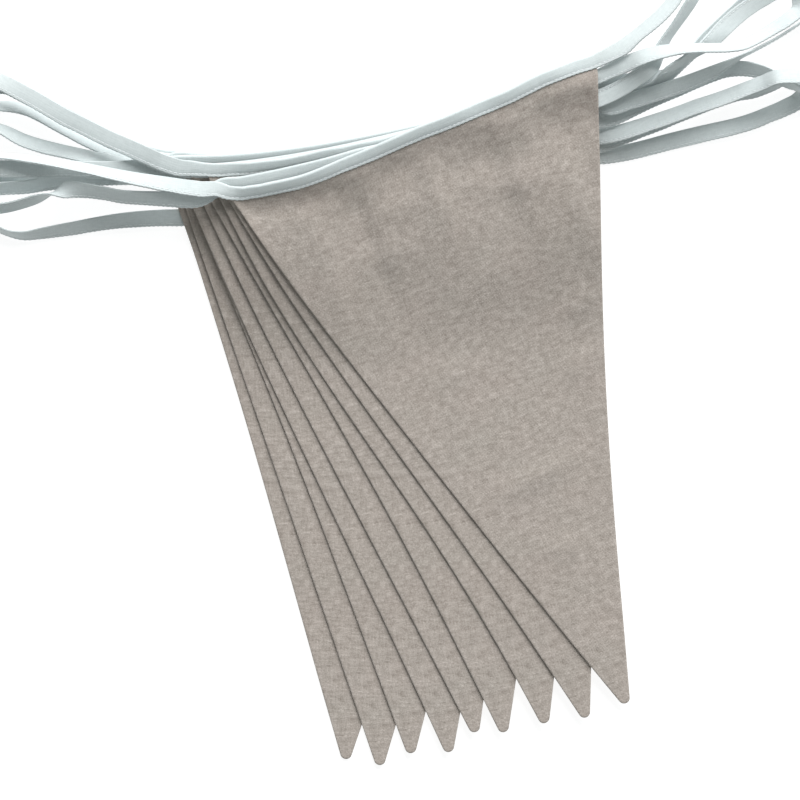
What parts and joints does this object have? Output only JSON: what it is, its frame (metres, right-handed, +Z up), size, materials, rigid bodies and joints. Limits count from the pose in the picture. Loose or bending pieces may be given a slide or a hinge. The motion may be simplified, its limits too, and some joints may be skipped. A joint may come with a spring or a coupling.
{
  "type": "fabric bunting",
  "caption": "Linen pennants bound along their top edges into one folded cotton tape, with the string of pennants laid back and forth in a fanned pile and the tape looping loose at both sides.",
  "frame": {"origin": "middle of the footprint on the plane that the pile lies on", "axes": "+Z up from the surface towards the viewer of the picture, +Y along the pennants from their tips to the tape, +X to the right along the tape"},
  "size_m": [0.474, 0.4146, 0.0324],
  "materials": {
    "linen": "natural undyed plain-weave linen, matt, with fine slubs",
    "cotton": "cool white cotton bias tape, matt, with a stitched lower edge"
  },
  "bodies": {
    "root": {"pennant_1": "linen", "pennant_2": "linen", "pennant_3": "linen", "pennant_4": "linen", "pennant_5": "linen", "pennant_6": "linen", "pennant_7": "linen", "pennant_8": "linen", "pennant_9": "linen", "tape": "cotton"}
  },
  "joints": []
}
